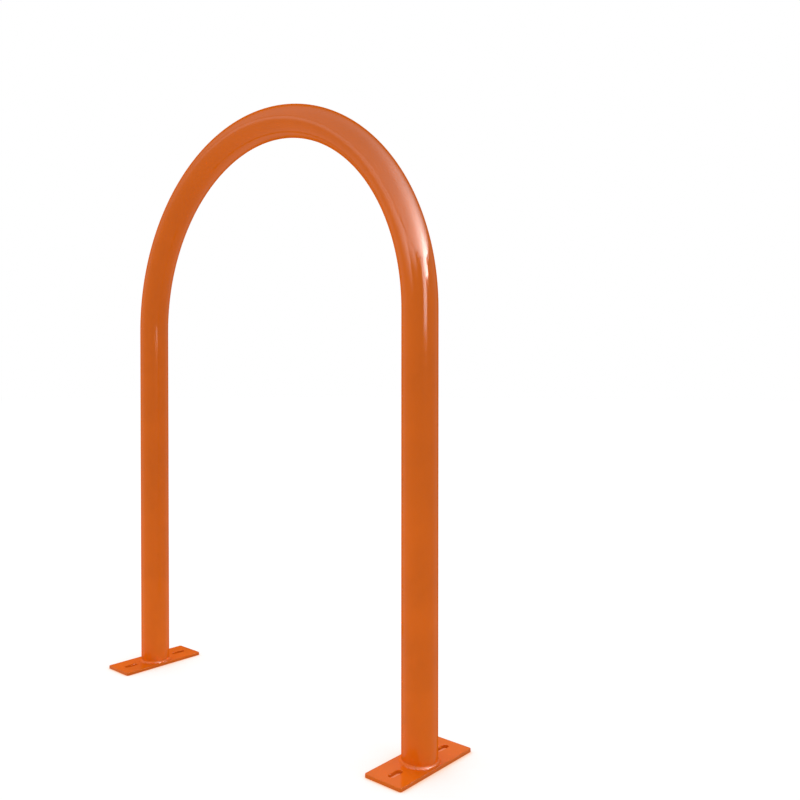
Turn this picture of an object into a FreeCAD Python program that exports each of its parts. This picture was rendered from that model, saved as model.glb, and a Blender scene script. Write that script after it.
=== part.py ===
import FreeCAD, Part
import math
import os
import Sketcher

# Hoop bike rack: one bent steel pipe stands on two slotted foot plates, each joined to it by a
# weld bead that runs right round the pipe.
# Frame: X runs along the width of the hoop, Y across it, Z up. The origin is on the ground,
# midway between the legs. All sizes are in millimetres.

SIZES = {
    # The pipe is nominal 1 1/2 inch (DN 40), schedule 40.
    "pipe_diameter": 48.3,
    "pipe_wall": 3.68,
    # Between the centre lines of the two legs. The arch is half a circle on this width.
    "hoop_width": 605.0,
    # From the top face of the foot plates to the top of the arch.
    "hoop_rise": 915.0,
    "plate_length": 150.0,
    "plate_width": 60.0,
    "plate_thickness": 5.0,
    "corner_radius": 3.0,
    "edge_chamfer": 0.5,
    "slot_width": 9.0,
    "slot_length": 24.0,
    # Between the centres of the two slots of one plate.
    "slot_spacing": 98.0,
    # Under the pipe, where it lets zinc and air in and out when the rack is dipped.
    "vent_diameter": 12.0,
    "weld_leg": 3.5,
    # How far the face of the weld bulges past the straight line between its toes.
    "bulge_height": 0.6,
    # The ripples of the weld: how many, and how far the dips between them draw in both toes.
    "ripple_count": 32,
    "ripple_depth": 0.3,
}

# A ripple at even steps round the pipe, as shares of its depth: one dip, then its broad crest.
RIPPLE = (1.0, 0.0, 0.0)
# How many flats stand for the curved face of the weld from toe to toe.
FACE_FLATS = 3

# Which way each foot lies from the origin along X.
LEFT, RIGHT = -1, 1

# Places in a sketch: its two axes, the points of a line or an arc, and the origin.
HORIZONTAL_AXIS, VERTICAL_AXIS = range(-1, -3, -1)
START, END, CENTRE = range(1, 4)
ORIGIN = (HORIZONTAL_AXIS, START)

LEVEL_PLANE, UPRIGHT_PLANE = "XY_Plane", "XZ_Plane"
Z_AXIS = FreeCAD.Vector(0, 0, 1)


def vector(x, y):
    return FreeCAD.Vector(x, y, 0)


def make_sheet(doc):
    """Write every driving dimension into a spreadsheet, one alias each."""
    sheet = doc.addObject("Spreadsheet::Sheet", "sizes")
    for row, (alias, value) in enumerate(SIZES.items(), start=1):
        sheet.set("A%d" % row, alias)
        sheet.set("B%d" % row, str(value))
        sheet.setAlias("B%d" % row, alias)
    doc.recompute()
    return sheet


def amount(sheet, expression):
    """What an expression of the sheet's cells comes to."""
    return float(sheet.evalExpression(expression))


def make_body(doc, label):
    body = doc.addObject("PartDesign::Body", label)
    body.Label = label
    return body


def own(body, role):
    """The body's own origin plane of that role."""
    return next(item for item in body.Origin.OriginFeatures if item.Role == role)


def make_sketch(body, name, plane):
    sketch = body.newObject("Sketcher::SketchObject", name)
    sketch.AttachmentSupport = [(own(body, plane), "")]
    sketch.MapMode = "FlatFace"
    return sketch


def constrain(sketch, kind, *places):
    return sketch.addConstraint(Sketcher.Constraint(kind, *places))


def dimension(sketch, name, expression, kind, *places):
    """A named dimension that follows an expression of the sheet's cells."""
    index = constrain(sketch, kind, *places, amount(sketch, expression))
    sketch.renameConstraint(index, name)
    sketch.setExpression("Constraints." + name, expression)


def line(sketch, start, end):
    return sketch.addGeometry(Part.LineSegment(vector(*start), vector(*end)))


def circle(sketch, centre, radius):
    return sketch.addGeometry(Part.Circle(vector(*centre), Z_AXIS, radius))


def arc(sketch, centre, radius, start, end):
    whole = Part.Circle(vector(*centre), Z_AXIS, radius)
    return sketch.addGeometry(Part.ArcOfCircle(whole, start, end))


def chain(sketch, kind, items):
    """Join the end of each item to the start of the next, and the last to the first."""
    for item, following in zip(items, items[1:] + items[:1]):
        constrain(sketch, kind, item, END, following, START)


def place(piece, side):
    """Move a foot's piece out to the leg on that side."""
    piece.setExpression("Placement.Base.x", "%d * sizes.hoop_width / 2" % side)


def expect_less(name, shape, volume):
    """A cut that points the wrong way takes nothing away and shows no error."""
    if not shape.Volume < volume:
        raise RuntimeError(name + " cuts nothing")


def make_hoop(doc, sheet):
    """One length of pipe: two straight legs and a half-round arch, with no joint between them."""
    body = make_body(doc, "hoop_pipe")
    half_width = "sizes.hoop_width / 2"
    spring_height = (
        "sizes.plate_thickness + sizes.hoop_rise - sizes.pipe_diameter / 2 - sizes.hoop_width / 2"
    )
    bore_diameter = "sizes.pipe_diameter - 2 * sizes.pipe_wall"
    half = amount(sheet, half_width)
    foot = sheet.plate_thickness
    spring = amount(sheet, spring_height)

    path = make_sketch(body, "centre_line", UPRIGHT_PLANE)
    right_leg = line(path, (half, foot), (half, spring))
    arch = arc(path, (0, spring), half, 0, math.pi)
    left_leg = line(path, (-half, spring), (-half, foot))
    constrain(path, "Tangent", right_leg, END, arch, START)
    constrain(path, "Tangent", arch, END, left_leg, START)
    constrain(path, "Vertical", right_leg)
    constrain(path, "Vertical", left_leg)
    constrain(path, "PointOnObject", arch, CENTRE, VERTICAL_AXIS)
    dimension(path, "bend_radius", half_width, "Radius", arch)
    dimension(path, "spring_height", spring_height, "DistanceY", *ORIGIN, arch, CENTRE)
    dimension(path, "right_foot", "sizes.plate_thickness", "DistanceY", *ORIGIN, right_leg, START)
    dimension(path, "left_foot", "sizes.plate_thickness", "DistanceY", *ORIGIN, left_leg, END)

    section = make_sketch(body, "pipe_section", LEVEL_PLANE)
    section.setExpression("AttachmentOffset.Base.z", "sizes.plate_thickness")
    outside = circle(section, (half, 0), sheet.pipe_diameter / 2)
    bore = circle(section, (half, 0), amount(sheet, bore_diameter) / 2)
    constrain(section, "Coincident", outside, CENTRE, bore, CENTRE)
    constrain(section, "PointOnObject", outside, CENTRE, HORIZONTAL_AXIS)
    dimension(section, "leg_offset", half_width, "DistanceX", *ORIGIN, outside, CENTRE)
    dimension(section, "outer_diameter", "sizes.pipe_diameter", "Diameter", outside)
    dimension(section, "bore_diameter", bore_diameter, "Diameter", bore)
    doc.recompute()

    pipe = body.newObject("PartDesign::AdditivePipe", "bent_pipe")
    pipe.Profile = section
    pipe.Spine = (path, [])
    doc.recompute()
    return body


def add_plate_outline(body, sheet):
    """The plate seen from above, a rectangle about the body's origin."""
    across, along = sheet.plate_width / 2, sheet.plate_length / 2
    corners = [(-across, -along), (across, -along), (across, along), (-across, along)]
    sketch = make_sketch(body, "plate_outline", LEVEL_PLANE)
    sides = [line(sketch, *ends) for ends in zip(corners, corners[1:] + corners[:1])]
    front, right, back, left = sides
    chain(sketch, "Coincident", sides)
    constrain(sketch, "Horizontal", front)
    constrain(sketch, "Vertical", right)
    constrain(sketch, "Vertical", left)
    constrain(sketch, "Symmetric", front, START, back, START, *ORIGIN)
    dimension(sketch, "across", "sizes.plate_width", "DistanceX", front, START, front, END)
    dimension(sketch, "along", "sizes.plate_length", "DistanceY", right, START, right, END)
    return sketch


def add_slot_outline(body, sheet):
    """One anchor slot: two straight sides and two round ends."""
    straight = "sizes.slot_length - sizes.slot_width"
    near_centre = "(sizes.slot_spacing - sizes.slot_length + sizes.slot_width) / 2"
    radius = sheet.slot_width / 2
    near = amount(sheet, near_centre)
    far = near + amount(sheet, straight)
    sketch = make_sketch(body, "slot_outline", LEVEL_PLANE)
    far_end = arc(sketch, (0, far), radius, 0, math.pi)
    left_side = line(sketch, (-radius, far), (-radius, near))
    near_end = arc(sketch, (0, near), radius, math.pi, 2 * math.pi)
    right_side = line(sketch, (radius, near), (radius, far))
    chain(sketch, "Tangent", [far_end, left_side, near_end, right_side])
    constrain(sketch, "Vertical", left_side)
    constrain(sketch, "PointOnObject", near_end, CENTRE, VERTICAL_AXIS)
    dimension(sketch, "end_radius", "sizes.slot_width / 2", "Radius", near_end)
    dimension(sketch, "near_centre", near_centre, "DistanceY", *ORIGIN, near_end, CENTRE)
    dimension(sketch, "straight", straight, "DistanceY", near_end, CENTRE, far_end, CENTRE)
    return sketch


def add_vent_outline(body, sheet):
    sketch = make_sketch(body, "vent_outline", LEVEL_PLANE)
    hole = circle(sketch, (0, 0), sheet.vent_diameter / 2)
    constrain(sketch, "Coincident", hole, CENTRE, *ORIGIN)
    dimension(sketch, "vent_diameter", "sizes.vent_diameter", "Diameter", hole)
    return sketch


def cut_through(body, sketch, name):
    """Cut the sketch up through the whole plate."""
    before = body.Shape.Volume
    pocket = body.newObject("PartDesign::Pocket", name)
    pocket.Profile = sketch
    pocket.Type = "ThroughAll"
    pocket.Reversed = True
    body.Document.recompute()
    expect_less(name, pocket.Shape, before)
    return pocket


def edges_of(shape, upright):
    """The names of the shape's upright edges, or of its level ones."""
    return [
        "Edge%d" % number
        for number, edge in enumerate(shape.Edges, start=1)
        if (abs(edge.tangentAt(edge.FirstParameter).z) > 0.5) == upright
    ]


def make_foot_plate(doc, sheet, label, side):
    """A length of flat bar with two anchor slots in line and a vent hole under the pipe."""
    body = make_body(doc, label)
    slab = body.newObject("PartDesign::Pad", "slab")
    slab.Profile = add_plate_outline(body, sheet)
    slab.setExpression("Length", "sizes.plate_thickness")
    doc.recompute()

    corners = body.newObject("PartDesign::Fillet", "corners")
    corners.Base = (slab, edges_of(slab.Shape, True))
    corners.setExpression("Radius", "sizes.corner_radius")
    doc.recompute()

    eased = body.newObject("PartDesign::Chamfer", "eased_edges")
    eased.Base = (corners, edges_of(corners.Shape, False))
    eased.setExpression("Size", "sizes.edge_chamfer")
    doc.recompute()

    slot = cut_through(body, add_slot_outline(body, sheet), "slot")
    both_slots = body.newObject("PartDesign::Mirrored", "both_slots")
    both_slots.Originals = [slot]
    both_slots.MirrorPlane = (own(body, UPRIGHT_PLANE), [""])
    body.Tip = both_slots
    doc.recompute()
    expect_less("both_slots", both_slots.Shape, slot.Shape.Volume)
    cut_through(body, add_vent_outline(body, sheet), "vent")
    place(body, side)
    return body


def bead_section(sheet, angle, share):
    """The weld's section at that angle round the pipe, with that share of a ripple's depth."""
    inner = sheet.pipe_diameter / 2
    leg = sheet.weld_leg - sheet.ripple_depth * share
    out = vector(math.cos(angle), math.sin(angle))
    root = out * inner
    plate_toe = root + out * leg
    pipe_toe = root + Z_AXIS * leg
    square_out = (out + Z_AXIS) / math.sqrt(2)
    crown = (plate_toe + pipe_toe) / 2 + square_out * sheet.bulge_height
    face = Part.Arc(plate_toe, crown, pipe_toe).toShape().discretize(FACE_FLATS + 1)
    return Part.makePolygon([root, *face, root])


def make_weld_bead(doc, sheet, label, side):
    """A fillet weld right round the foot of the pipe, lofted from dip to crest to dip."""
    steps = int(sheet.ripple_count) * len(RIPPLE)
    sections = [
        bead_section(sheet, 2 * math.pi * step / steps, RIPPLE[step % len(RIPPLE)])
        for step in range(steps)
    ]
    solid, ruled, closed = True, True, True
    bead = doc.addObject("Part::Feature", label)
    bead.Label = label
    bead.Shape = Part.makeLoft(sections, solid, ruled, closed)
    place(bead, side)
    bead.setExpression("Placement.Base.z", "sizes.plate_thickness")
    return bead


def check(doc, pieces):
    """Stop before anything is written if an object failed or a piece isn't one sound solid."""
    doc.recompute()
    for item in doc.Objects:
        if "Invalid" in item.State or "Error" in item.State:
            raise RuntimeError("%s failed: %s" % (item.Label, item.State))
    for piece in pieces:
        shape = piece.Shape
        if shape.isNull() or not shape.isValid() or len(shape.Solids) != 1:
            raise RuntimeError(piece.Label + " is not one valid solid")


def write(pieces):
    os.makedirs("parts", exist_ok=True)
    for piece in pieces:
        piece.Shape.exportStep("parts/%s.step" % piece.Label)
        print("%s: %.1f mm3" % (piece.Label, piece.Shape.Volume))


def build():
    doc = FreeCAD.newDocument("hoop_bike_rack")
    sheet = make_sheet(doc)
    pieces = [make_hoop(doc, sheet)]
    for side, hand in ((LEFT, "left"), (RIGHT, "right")):
        pieces.append(make_foot_plate(doc, sheet, hand + "_foot_plate", side))
        pieces.append(make_weld_bead(doc, sheet, hand + "_weld_bead", side))
    check(doc, pieces)
    write(pieces)


build()
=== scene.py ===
import math

import bmesh
import bpy
from mathutils import Matrix, Vector


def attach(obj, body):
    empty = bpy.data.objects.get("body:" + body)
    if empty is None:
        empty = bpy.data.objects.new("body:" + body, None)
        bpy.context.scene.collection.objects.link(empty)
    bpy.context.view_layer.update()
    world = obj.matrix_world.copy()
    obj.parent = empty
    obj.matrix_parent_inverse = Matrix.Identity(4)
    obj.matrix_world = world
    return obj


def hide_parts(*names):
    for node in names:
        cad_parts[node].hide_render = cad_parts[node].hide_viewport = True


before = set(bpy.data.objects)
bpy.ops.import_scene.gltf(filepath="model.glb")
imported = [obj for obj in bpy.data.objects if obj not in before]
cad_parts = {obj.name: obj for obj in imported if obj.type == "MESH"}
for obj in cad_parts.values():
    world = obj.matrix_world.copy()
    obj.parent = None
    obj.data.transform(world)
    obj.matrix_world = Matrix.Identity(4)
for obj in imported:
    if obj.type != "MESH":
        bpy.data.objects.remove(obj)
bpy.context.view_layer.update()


# ---------------------------------------------------------------- bent tube
# One length of 48.3 mm round steel tube with a 3.68 mm wall, bent cold over a former into two
# legs and a half-round arch. It is blasted, zinc primed and coated with orange powder, which is
# baked to a smooth gloss with a faint orange peel.

TUBE_RADIUS = 0.02415
TUBE_WALL = 0.00368
LEG_SPACING = 0.605
TUBE_FOOT = 0.005
TUBE_TOP = 0.920
TUBE_SIDES = 96
ARCH_STEPS = 120
LEG_STEPS = 24

ARCH_RADIUS = LEG_SPACING / 2
SPRING_HEIGHT = TUBE_TOP - TUBE_RADIUS - ARCH_RADIUS

# The coat as it is baked, where it is thin, where it has filled up, and the dust on it.
# The thin and full colours also serve for painted shade and painted light.
COAT = (0.660, 0.121, 0.0030)
COAT_THIN_AND_SHADED = (0.520, 0.097, 0.0025)
COAT_FULL_AND_LIT = (0.720, 0.135, 0.0038)
DUST = (0.52, 0.34, 0.22)
SMOOTHEST = 0.085
SPECULAR_LEVEL = 0.13
# The gloss gives way to the dull coat between these, from 0 face on to 1 edge on.
DULL_FROM, DULL_TO = 0.42, 0.76


class Wire:
    """An output of a shader node. Arithmetic on it adds Math nodes to the same tree."""

    def __init__(self, tree, socket=None):
        self.tree = tree
        self.socket = socket

    def node(self, kind, settings, inputs, output=0):
        """Add a node of that kind, with its settings, then the values or wires of its inputs."""
        made = self.tree.nodes.new(kind)
        for name, value in settings.items():
            setattr(made, name, value)
        for name, value in inputs.items():
            if isinstance(value, Wire):
                self.tree.links.new(value.socket, made.inputs[name])
            else:
                made.inputs[name].default_value = value
        return Wire(self.tree, made.outputs[output] if made.outputs else None)

    def math(self, operation, *values):
        return self.node("ShaderNodeMath", {"operation": operation}, dict(enumerate(values)))

    def __add__(self, other):
        return self.math("ADD", self, other)

    def __sub__(self, other):
        return self.math("SUBTRACT", self, other)

    def __rsub__(self, other):
        return self.math("SUBTRACT", other, self)

    def __mul__(self, other):
        return self.math("MULTIPLY", self, other)

    def __abs__(self):
        return self.math("ABSOLUTE", self)

    __radd__ = __add__
    __rmul__ = __mul__

    def fade(self, low, high):
        """0 where this is under low, 1 where it is over high, and smooth between."""
        settings = {"interpolation_type": "SMOOTHSTEP"}
        return self.node("ShaderNodeMapRange", settings, {"Value": self, 1: low, 2: high})

    def larger(self, other):
        return self.math("MAXIMUM", self, other)

    def mix(self, first, second):
        """The first colour where this is 0, and the second where it is 1."""
        colours = [(*c, 1) if isinstance(c, tuple) else c for c in (first, second)]
        settings = {"data_type": "RGBA"}
        return self.node("ShaderNodeMix", settings, {0: self, 6: colours[0], 7: colours[1]}, 2)

    def stretch(self, *scale):
        """This position, with each axis scaled."""
        return self.node("ShaderNodeVectorMath", {"operation": "MULTIPLY"}, {0: self, 1: scale})

    def noise(self, size, detail=2.0, roughness=0.5):
        """Soft noise of 0 to 1 whose features are that many metres across."""
        inputs = {"Vector": self, "Scale": 1 / size, "Detail": detail, "Roughness": roughness}
        return self.node("ShaderNodeTexNoise", {}, inputs)

    def axes(self):
        kind = "ShaderNodeSeparateXYZ"
        return [self.node(kind, {}, {"Vector": self}, axis) for axis in range(3)]


def powder_coat(name, wear_and_painted_light_of):
    """Baked gloss powder coat, whose fine peel dulls it where it is seen edge on.
    Its wear function gives, at each position, its scuffs, its dust, how thin and how full the
    coat is, and its own relief in metres. On the tube and the plates, thin and full also carry
    painted shade and painted light."""
    material = bpy.data.materials.new(name)
    material.use_nodes = True
    tree = material.node_tree
    tree.nodes.clear()
    at = Wire(tree).node("ShaderNodeTexCoord", {}, {}, 3)
    scuffs, dust, thin, full, relief = wear_and_painted_light_of(at)

    film = at.noise(0.11, 3.0).fade(0.30, 0.72)
    cloud = at.noise(0.014, 2.0).fade(0.25, 0.75)
    grain = at.noise(0.0011, 1.0)
    colour = film.mix(COAT_THIN_AND_SHADED, COAT_FULL_AND_LIT)
    colour = (0.45 + cloud * 0.25).mix(colour, COAT)
    colour = ((grain - 0.5) * 0.10 + 0.05).mix(colour, COAT_FULL_AND_LIT)
    # Full and thin carry painted light and painted shade as well as the coat's real build.
    colour = full.mix(colour, COAT_FULL_AND_LIT)
    colour = (thin * 0.5).mix(colour, COAT_THIN_AND_SHADED)
    colour = (dust * 0.16).mix(colour, DUST)

    # Waves 3 mm and 1 mm across, about 0.012 and 0.0025 mm high.
    peel = at.noise(0.0030, 2.0, 0.45) * 0.000012 + at.noise(0.0011, 1.0) * 0.0000025
    height = peel + relief - scuffs * 0.000004
    bump = {"Strength": 1.0, "Distance": 1.0, "Height": height}
    normal = at.node("ShaderNodeBump", {}, bump)
    rough = SMOOTHEST + cloud * 0.02 + film * 0.015 + scuffs * 0.16 + dust * 0.20
    gloss = at.node("ShaderNodeBsdfPrincipled", {}, {
        "Base Color": colour,
        "Roughness": rough,
        "Normal": normal,
        "Specular IOR Level": SPECULAR_LEVEL,
    })
    dull = at.node("ShaderNodeBsdfDiffuse", {}, {"Color": colour})
    edge_on = at.node("ShaderNodeLayerWeight", {}, {"Blend": 0.5}, 1).fade(DULL_FROM, DULL_TO)
    shader = at.node("ShaderNodeMixShader", {}, {0: edge_on, 1: gloss, 2: dull})
    at.node("ShaderNodeOutputMaterial", {}, {"Surface": shader})
    return material


def tube_wear_and_painted_light(at):
    """Handling marks where frames and locks rub the legs, a trace of dust at the ground, and a
    coat that is thinner in patches. Painted shade darkens the coat up the legs and again over
    the arch, and painted light brightens it at the foot."""
    height = at.axes()[2]
    rubbed = height.fade(0.30, 0.45) * (1 - height.fade(0.78, 0.90))
    hairline = at.stretch(1, 1, 14).noise(0.012, 3.0, 0.6).fade(0.66, 0.74)
    patch = at.noise(0.07, 1.0).fade(0.52, 0.70)
    scuffs = hairline * patch * (0.25 + rubbed * 0.75)
    dust = (1 - height.fade(0.005, 0.022)) * at.noise(0.006, 3.0).fade(0.40, 0.75) * 0.3
    thin = at.noise(0.05, 2.0).fade(0.55, 0.8) * 0.3
    # Painted shade: the coat darkens up the legs, and darkens again over the arch.
    thin = thin + height.fade(0.03, 0.44) * (0.88 + height.fade(0.60, 0.80) * 0.34)
    # Painted light: the coat brightens within a few centimetres of the foot.
    full = (1 - height.fade(0.010, 0.055)) * 0.5
    drawn = at.stretch(1, 1, 0.02).noise(0.004, 1.0) * 0.000003
    return scuffs, dust, thin, full, drawn


def make_tube():
    """A ring of wall at the right foot, drawn up the leg, turned over the arch and drawn down
    the left leg. The first ring and the last close its ends."""
    bm = bmesh.new()
    bmesh.ops.create_circle(
        bm, cap_ends=True, segments=TUBE_SIDES, radius=TUBE_RADIUS,
        matrix=Matrix.Translation((ARCH_RADIUS, 0, TUBE_FOOT)))
    bore = bm.faces[:]
    bmesh.ops.inset_individual(bm, faces=bore, thickness=TUBE_WALL, use_even_offset=True)
    bmesh.ops.delete(bm, geom=bore, context="FACES_ONLY")
    ring = bm.verts[:] + bm.edges[:] + bm.faces[:]
    step = (SPRING_HEIGHT - TUBE_FOOT) / LEG_STEPS
    for _ in range(LEG_STEPS):
        ring = draw_out(bm, ring, Vector((0, 0, step)))
    ring = bmesh.ops.spin(
        bm, geom=ring, cent=(0, 0, SPRING_HEIGHT), axis=(0, -1, 0),
        angle=math.pi, steps=ARCH_STEPS)["geom_last"]
    for _ in range(LEG_STEPS):
        ring = draw_out(bm, ring, Vector((0, 0, -step)))
    return bm


def draw_out(bm, ring, move):
    """Extrude the ring and move the new one, which it gives."""
    ring = bmesh.ops.extrude_face_region(bm, geom=ring)["geom"]
    verts = [item for item in ring if isinstance(item, bmesh.types.BMVert)]
    bmesh.ops.translate(bm, verts=verts, vec=move)
    return ring


def add_piece(name, bm, material, node, sharp=math.radians(35)):
    """Close the mesh off, give it its coat and let it stand for its CAD node."""
    bmesh.ops.remove_doubles(bm, verts=bm.verts, dist=1e-7)
    bmesh.ops.recalc_face_normals(bm, faces=bm.faces)
    mesh = bpy.data.meshes.new(name)
    bm.to_mesh(mesh)
    bm.free()
    mesh.shade_smooth()
    mesh.set_sharp_from_angle(angle=sharp)
    piece = bpy.data.objects.new(name, mesh)
    bpy.context.scene.collection.objects.link(piece)
    mesh.materials.append(material)
    even = piece.modifiers.new("even_shading", "WEIGHTED_NORMAL")
    even.keep_sharp = True
    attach(piece, "root")
    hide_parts(node)


add_piece("bent_tube", make_tube(), powder_coat("tube_coat", tube_wear_and_painted_light), "hoop_pipe")


# -------------------------------------------------------------- foot plates
# Two cut lengths of 60 by 5 mm flat bar, each with two punched slots for ground anchors and a
# vent hole under the tube. The saw's edges are eased, and the coat rounds them over further.

PLATE_LENGTH = 0.150
PLATE_WIDTH = 0.060
PLATE_CORNER = 0.003
CORNER_STEPS = 8
EDGE_ROUND = 0.0006
EDGE_STEPS = 4
SLOT_WIDTH = 0.009
SLOT_LENGTH = 0.024
SLOT_SPACING = 0.098
VENT_RADIUS = 0.006
HOLE_SIDES = 48
LEFT, RIGHT = -1, 1


def plate_wear_and_painted_light(at):
    """Shoe scuffs on the top face, dust by the weld, and a coat thinner in patches along the
    outer edges. Painted shade darkens the outer side walls, and painted light brightens the top
    faces, the right plate's far more than the left."""
    x, y, height = at.axes()
    across = abs(x) - ARCH_RADIUS
    squares = across * across + y * y
    from_tube = squares.math("SQRT", squares)
    hairline = at.stretch(1, 0.12, 1).noise(0.0022, 3.0, 0.6).fade(0.66, 0.74)
    patch = at.noise(0.03, 2.0).fade(0.50, 0.72)
    scuffs = hairline * patch
    near = 1 - from_tube.fade(TUBE_RADIUS + 0.003, TUBE_RADIUS + 0.016)
    dust = (0.12 + near * 0.25) * at.noise(0.012, 3.0).fade(0.40, 0.78)
    edge_x = abs(across).fade(PLATE_WIDTH / 2 - 0.0022, PLATE_WIDTH / 2 - 0.0004)
    edge_y = abs(y).fade(PLATE_LENGTH / 2 - 0.0022, PLATE_LENGTH / 2 - 0.0004)
    outer = edge_x.larger(edge_y)
    side = 1 - height.fade(TUBE_FOOT - 0.0011, TUBE_FOOT - 0.0003)
    # The coat is thinner in patches along the outer edges; the darkening of the outer side walls
    # is painted shade.
    thin = outer * at.noise(0.006, 2.0).fade(0.25, 0.6).larger(side * 0.8)
    # Painted light: the top faces are brightened, the right plate's far more than the left.
    full = (0.05 + x.fade(-0.2, 0.2) * 0.6) * (1 - side)
    rolled = at.stretch(1, 0.15, 1).noise(0.006, 2.0) * 0.000008
    return scuffs * (1 - side), dust * (1 - side), thin, full, rolled


def cut_outline(bm, radius, centre, straight):
    """The rim of a round hole, or of a slot with that much straight side along Y."""
    half_step = math.pi / HOLE_SIDES
    turn = Matrix.Rotation(half_step, 4, "Z")
    made = bmesh.ops.create_circle(
        bm, segments=HOLE_SIDES, radius=radius / math.cos(half_step), matrix=turn)["verts"]
    for vert in made:
        vert.co.y += centre + math.copysign(straight / 2, vert.co.y)


def make_plate(side):
    """A flat with rounded corners and three holes, given its thickness and then eased edges."""
    bm = bmesh.new()
    bmesh.ops.create_grid(bm, x_segments=1, y_segments=1, size=0.5)
    bmesh.ops.scale(bm, verts=bm.verts, vec=(PLATE_WIDTH, PLATE_LENGTH, 1))
    bmesh.ops.bevel(
        bm, geom=bm.verts[:], affect="VERTICES", offset=PLATE_CORNER, offset_type="OFFSET",
        segments=CORNER_STEPS, profile=0.5, material=-1)
    bmesh.ops.delete(bm, geom=bm.faces[:], context="FACES_ONLY")
    for centre in (-SLOT_SPACING / 2, SLOT_SPACING / 2):
        cut_outline(bm, SLOT_WIDTH / 2, centre, SLOT_LENGTH - SLOT_WIDTH)
    cut_outline(bm, VENT_RADIUS, 0, 0)
    bmesh.ops.triangle_fill(bm, edges=bm.edges[:], use_beauty=True, normal=(0, 0, 1))
    bmesh.ops.dissolve_limit(
        bm, angle_limit=math.radians(1), verts=bm.verts[:], edges=bm.edges[:],
        delimit={"NORMAL"})
    made = bmesh.ops.extrude_face_region(bm, geom=bm.faces[:])["geom"]
    top = [item for item in made if isinstance(item, bmesh.types.BMVert)]
    bmesh.ops.translate(bm, verts=top, vec=(0, 0, TUBE_FOOT))
    bmesh.ops.recalc_face_normals(bm, faces=bm.faces)
    rims = [
        edge for edge in bm.edges
        if abs(edge.link_faces[0].normal.z - edge.link_faces[1].normal.z) > 0.5
    ]
    bmesh.ops.bevel(
        bm, geom=rims, affect="EDGES", offset=EDGE_ROUND, offset_type="OFFSET",
        segments=EDGE_STEPS, profile=0.5, material=-1)
    bmesh.ops.translate(bm, verts=bm.verts, vec=(side * ARCH_RADIUS, 0, 0))
    return bm


plate_coat = powder_coat("plate_coat", plate_wear_and_painted_light)
for side, hand in ((LEFT, "left"), (RIGHT, "right")):
    add_piece(hand + "_plate", make_plate(side), plate_coat, hand + "_foot_plate")


# --------------------------------------------------------------- weld beads
# A fillet weld of 3.5 mm leg run right round each foot by hand. Its ripples lie over each other
# like scales, it swells where the run starts and stops, and the coat softens all of it.

WELD_LEG = 0.0035
WELD_BULGE = 0.0006
RIPPLES = 32
RIPPLE_STEPS = 16
RIPPLE_DEPTH = 0.00024
RIPPLE_LAG = 0.45
FACE_STEPS = 14
STOP_ANGLE = math.radians(128)
STOP_WIDTH = 0.075
STOP_HEIGHT = 0.0005


def weld_wear(at):
    """A little dust on the bead, and hardly a scuff. The coat is full but for a few spots."""
    scuffs = at.noise(0.003, 1.0).fade(0.70, 0.90) * 0.2
    dust = at.noise(0.004, 2.0).fade(0.45, 0.80) * 0.3
    thin = at.noise(0.005, 1.0).fade(0.55, 0.80) * 0.4
    return scuffs, dust, thin, 1 - thin, at.noise(0.0016, 1.0) * 0.00001


def face_point(share):
    """How far out and up the weld's face is, that share of the way from plate to pipe."""
    chord = WELD_LEG * math.sqrt(2)
    bulge = 4 * WELD_BULGE * share * (1 - share)
    lean = bulge / math.sqrt(2)
    along = chord * share / math.sqrt(2)
    return WELD_LEG - along + lean, along + lean


def ripple(angle, share):
    """How far the bead's face stands in at that angle, from 0 on a crest."""
    lag = RIPPLE_LAG * (2 * share - 1) ** 2
    # The hand speeds up and slows down along the run, so no two ripples are alike.
    drift = 0.30 * math.sin(3 * angle + 0.8) + 0.22 * math.sin(7 * angle + 2.1)
    phase = RIPPLES * angle / (2 * math.pi) - lag + drift
    rise = math.sin(math.pi * phase) ** 2
    uneven = 1 + 0.25 * math.sin(5 * angle + 1.3)
    return RIPPLE_DEPTH * uneven * (1 - rise) ** 1.5


def make_weld(side):
    """The weld's section turned round the pipe, with its face set in by the ripples."""
    bm = bmesh.new()
    outline = [(0.0, 0.0)] + [face_point(step / FACE_STEPS) for step in range(FACE_STEPS + 1)]
    verts = [bm.verts.new((TUBE_RADIUS + out, 0, up)) for out, up in outline]
    edges = [bm.edges.new(pair) for pair in zip(verts, verts[1:] + verts[:1])]
    bmesh.ops.spin(
        bm, geom=verts + edges, cent=(0, 0, 0), axis=(0, 0, 1), angle=2 * math.pi,
        steps=RIPPLES * RIPPLE_STEPS, use_merge=True)
    for vert in bm.verts:
        angle = math.atan2(vert.co.y, vert.co.x)
        out, up = math.hypot(vert.co.x, vert.co.y) - TUBE_RADIUS, vert.co.z
        if out + up < WELD_LEG / 2:
            continue
        share = up / (out + up)
        off = math.remainder(angle - STOP_ANGLE, 2 * math.pi)
        lump = STOP_HEIGHT * math.exp(-(off / STOP_WIDTH) ** 2) * 4 * share * (1 - share)
        inset = (ripple(angle, share) - lump) / math.hypot(out, up)
        radius = TUBE_RADIUS + out * (1 - inset)
        vert.co = (radius * math.cos(angle), radius * math.sin(angle), up * (1 - inset))
    bmesh.ops.translate(bm, verts=bm.verts, vec=(side * ARCH_RADIUS, 0, TUBE_FOOT))
    return bm


weld_coat = powder_coat("weld_coat", weld_wear)
for side, hand in ((LEFT, "left"), (RIGHT, "right")):
    add_piece(
        hand + "_weld", make_weld(side), weld_coat, hand + "_weld_bead", math.radians(60))


# -------------------------------------------------------------------- floor
# A plain white studio floor. Seen by the camera or in a reflection it is white, and the rack's
# own shadow still greys it a little. Beside the plates and tube it has a painted orange contact
# shade, and under the plates, where the slots show it, a painted orange bounce.

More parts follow.
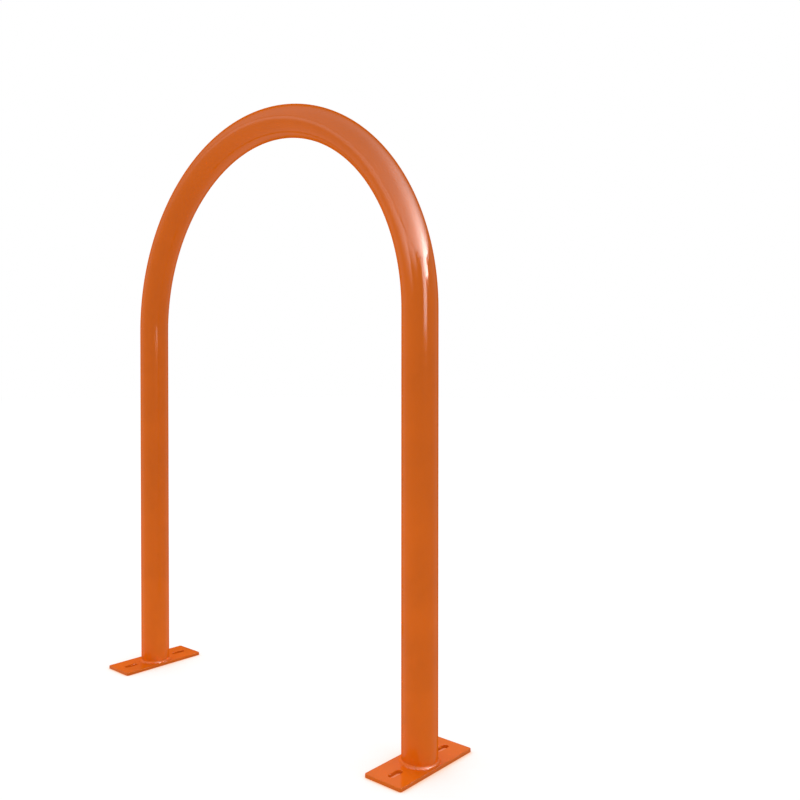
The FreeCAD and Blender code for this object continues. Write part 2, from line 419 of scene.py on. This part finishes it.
FLOOR_SIZE = 40.0
FLOOR_PAINT = 0.92
FLOOR_SHEEN = 0.14
FLOOR_WHITE = 0.885
FLOOR_PAINTED_CONTACT_SHADE = (0.97, 0.53, 0.30)
FLOOR_PAINTED_SLOT_BOUNCE = (0.80, 0.19, 0.05)


def seen_ray(wire):
    """1 for the rays that show the background, and 0 for those that light the object."""
    camera, glossy, transmission = (
        wire.node("ShaderNodeLightPath", {}, {}, output)
        for output in ("Is Camera Ray", "Is Glossy Ray", "Is Transmission Ray"))
    return camera.larger(glossy).larger(transmission)


bm = bmesh.new()
bmesh.ops.create_grid(bm, x_segments=1, y_segments=1, size=FLOOR_SIZE)
floor_mesh = bpy.data.meshes.new("floor")
bm.to_mesh(floor_mesh)
bm.free()
floor = bpy.data.objects.new("floor", floor_mesh)
bpy.context.scene.collection.objects.link(floor)

floor_paint = bpy.data.materials.new("floor_paint")
floor_paint.use_nodes = True
floor_paint.node_tree.nodes.clear()
start = Wire(floor_paint.node_tree)
seen = seen_ray(start)
plain = start.node("ShaderNodeBsdfDiffuse", {}, {"Color": (FLOOR_PAINT,) * 3 + (1,)})
sheen = start.node("ShaderNodeBsdfDiffuse", {}, {"Color": (FLOOR_SHEEN,) * 3 + (1,)})
# Painted shade: where the plates and tube hem the floor in, it turns orange-brown, standing in
# for their contact shadow and bounce.
open_sky = start.node("ShaderNodeAmbientOcclusion", {"samples": 12}, {"Distance": 0.25}, 1)
painted_floor_shade_and_bounce = open_sky.fade(0.45, 0.95).mix(FLOOR_PAINTED_CONTACT_SHADE, (1.0, 1.0, 1.0))
x, y, _ = start.node("ShaderNodeTexCoord", {}, {}, 3).axes()
# Painted light: under the plates, where the slots show it, the floor is painted the orange of
# the slot walls' bounce.
past_x = abs(abs(x) - ARCH_RADIUS).fade(PLATE_WIDTH / 2 - 0.004, PLATE_WIDTH / 2 - 0.001)
past_y = abs(y).fade(PLATE_LENGTH / 2 - 0.004, PLATE_LENGTH / 2 - 0.001)
painted_floor_shade_and_bounce = ((1 - past_x) * (1 - past_y)).mix(painted_floor_shade_and_bounce, FLOOR_PAINTED_SLOT_BOUNCE)
white = start.node("ShaderNodeEmission", {}, {"Color": painted_floor_shade_and_bounce, "Strength": FLOOR_WHITE})
lit = start.node("ShaderNodeAddShader", {}, {0: sheen, 1: white})
surface = start.node("ShaderNodeMixShader", {}, {0: seen, 1: plain, 2: lit})
start.node("ShaderNodeOutputMaterial", {}, {"Surface": surface})
floor_mesh.materials.append(floor_paint)


# -------------------------------------------------------------------- light
# A white room gives an even light from all round. A key lamp adds some from above and behind,
# and a fill from the left. Silks with lamps behind them show only in the gloss.

ROOM_LIGHT = 0.89
MIDDLE = Vector((0, 0, 0.5))
# The lamps behind the silks: how bright, how tight, azimuth from +Y towards +X, and elevation.
GLOWS = ((180, 26.4, 71.0, 11.0), (36.1, 5.8, 82.9, 20.7), (21.1, 2.8, 142.0, -11.9))


def direction(azimuth, elevation):
    turn, tilt = math.radians(azimuth), math.radians(elevation)
    level = math.cos(tilt)
    return Vector((math.sin(turn) * level, math.cos(turn) * level, math.sin(tilt)))


def silk_glow(silk, dim_from, dim_to):
    """How bright a silk is at each point, from the lamps behind it. It is dim at its low edge,
    between those two elevations."""
    at = silk.node("ShaderNodeNewGeometry", {}, {}, 0)
    out = at.node("ShaderNodeVectorMath", {"operation": "SUBTRACT"}, {0: at, 1: MIDDLE})
    out = at.node("ShaderNodeVectorMath", {"operation": "NORMALIZE"}, {0: out})
    total = 0
    for bright, tight, azimuth, elevation in GLOWS:
        lamp = direction(azimuth, elevation)
        dot = {"operation": "DOT_PRODUCT"}
        facing = at.node("ShaderNodeVectorMath", dot, {0: out, 1: lamp}, 1)
        total = total + at.math("EXPONENT", (facing - 1) * tight) * bright
    height = out.axes()[2]
    return total * height.fade(math.sin(math.radians(dim_from)), math.sin(math.radians(dim_to)))


def add_lamp(name, size, place, power, in_gloss=False):
    """A flat lamp that faces the rack's middle. It either shows in the gloss or lights the
    plain coat, and is never in the picture itself."""
    lamp = bpy.data.lights.new(name, "AREA")
    lamp.shape = "RECTANGLE"
    lamp.size, lamp.size_y = size
    lamp.energy = power
    holder = bpy.data.objects.new(name, lamp)
    bpy.context.scene.collection.objects.link(holder)
    holder.location = MIDDLE + place
    holder.rotation_euler = place.to_track_quat("Z", "Y").to_euler()
    holder.visible_camera = False
    holder.visible_diffuse = not in_gloss
    holder.visible_glossy = in_gloss
    return lamp


def add_silk(name, shape, size, place, share, dim_from=-2, dim_to=-1):
    """A silk that passes that share of the glow behind it."""
    face = size[0] * size[1] * (math.pi / 4 if shape == "ELLIPSE" else 1)
    lamp = add_lamp(name, size, place, math.pi * face, in_gloss=True)
    lamp.shape = shape
    lamp.use_nodes = True
    lamp.node_tree.nodes.clear()
    silk = Wire(lamp.node_tree)
    strength = silk_glow(silk, dim_from, dim_to) * share
    glow = silk.node("ShaderNodeEmission", {}, {"Strength": strength})
    silk.node("ShaderNodeOutputLight", {}, {"Surface": glow})


world = bpy.data.worlds.new("studio")
bpy.context.scene.world = world
world.use_nodes = True
world.node_tree.nodes.clear()
start = Wire(world.node_tree)
seen = seen_ray(start)
strength = ROOM_LIGHT + seen * (1 - ROOM_LIGHT)
room = start.node("ShaderNodeBackground", {}, {"Color": (1, 1, 1, 1), "Strength": strength})
start.node("ShaderNodeOutputWorld", {}, {"Surface": room})

add_lamp("key", (2.5, 2.5), direction(-62, 60) * 4.5, 66)
add_lamp("fill", (2.0, 2.0), direction(-125, 12) * 4.5, 28)
add_silk("ceiling_silk", "ELLIPSE", (18.6, 18.6), Vector((0, 0, 4.8)), 1.0)
add_silk("side_silk", "RECTANGLE", (1.67, 0.75), direction(88.5, 23.2) * 5, 0.95)
add_silk("low_silk", "RECTANGLE", (1.6, 1.85), direction(107, 15.5) * 5, 0.68)
add_silk("front_silk", "RECTANGLE", (3.6, 1.05), direction(161, 21.8) * 6, 1.0, 17, 26)
add_silk("left_silk", "RECTANGLE", (5.8, 1.9), direction(-154, 19) * 6, 1.7, 9, 20)


# ------------------------------------------------------------------- camera
# Stands off the right leg, at about half the rack's height, and looks across its front. The
# shift sets the rack to the left of the picture, as it stands in the photograph.

camera = bpy.data.cameras.new("camera")
camera.lens = 36.30
camera.sensor_width = 36.0
camera.shift_x = 0.0325
camera.shift_y = 0.0009
eye = bpy.data.objects.new("camera", camera)
bpy.context.scene.collection.objects.link(eye)
eye.location = (0.9511, -0.8246, 0.4873)
eye.rotation_euler = (math.pi / 2 - 0.0122, 0, 0.7233)
bpy.context.scene.camera = eye

bpy.context.scene.view_settings.view_transform = "Standard"
